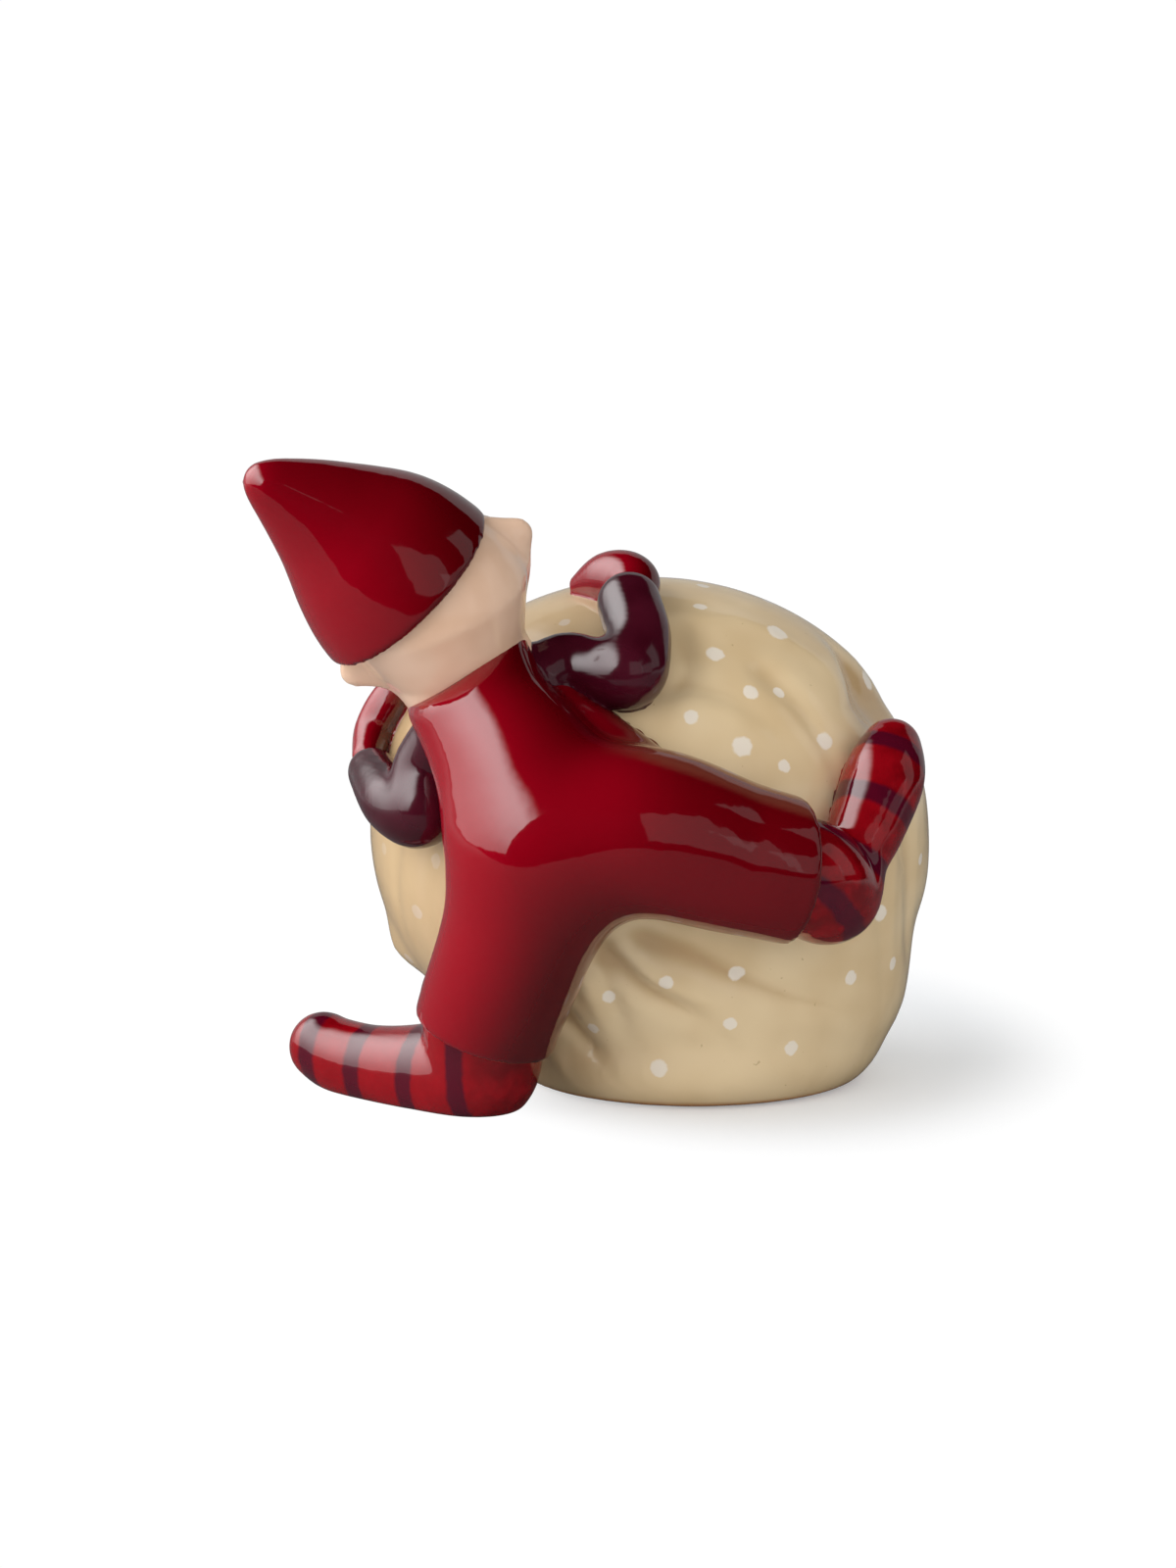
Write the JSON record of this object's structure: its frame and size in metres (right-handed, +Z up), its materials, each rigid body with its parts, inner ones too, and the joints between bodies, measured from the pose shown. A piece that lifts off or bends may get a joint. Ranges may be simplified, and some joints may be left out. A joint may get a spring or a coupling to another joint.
{
  "type": "christmas elf figurine",
  "caption": "Glazed ceramic elf in red overalls and a pointed hat that hugs and climbs a round dotted gift sack, standing on the sack's flat foot and one boot.",
  "frame": {"origin": "middle of the figurine's footprint box, on the surface that it stands on", "axes": "+Z up, +Y away from the viewer who sees the elf's back, +X towards the raised leg"},
  "size_m": [0.1319, 0.1204, 0.1278],
  "materials": {
    "cream_glaze": "cream brushed glaze with white dots",
    "red_glaze": "deep red transparent gloss glaze",
    "plum_glaze": "dark plum gloss glaze",
    "skin_glaze": "pale skin-coloured gloss glaze",
    "boot_glaze": "red gloss glaze with dark plum stripes"
  },
  "bodies": {
    "root": {"sack": "cream_glaze", "overalls": "red_glaze", "head": "skin_glaze", "hat": "red_glaze", "sleeve_left": "plum_glaze", "sleeve_right": "plum_glaze", "mitten_left": "red_glaze", "mitten_right": "red_glaze", "boot_standing": "boot_glaze", "boot_raised": "boot_glaze"}
  },
  "joints": []
}
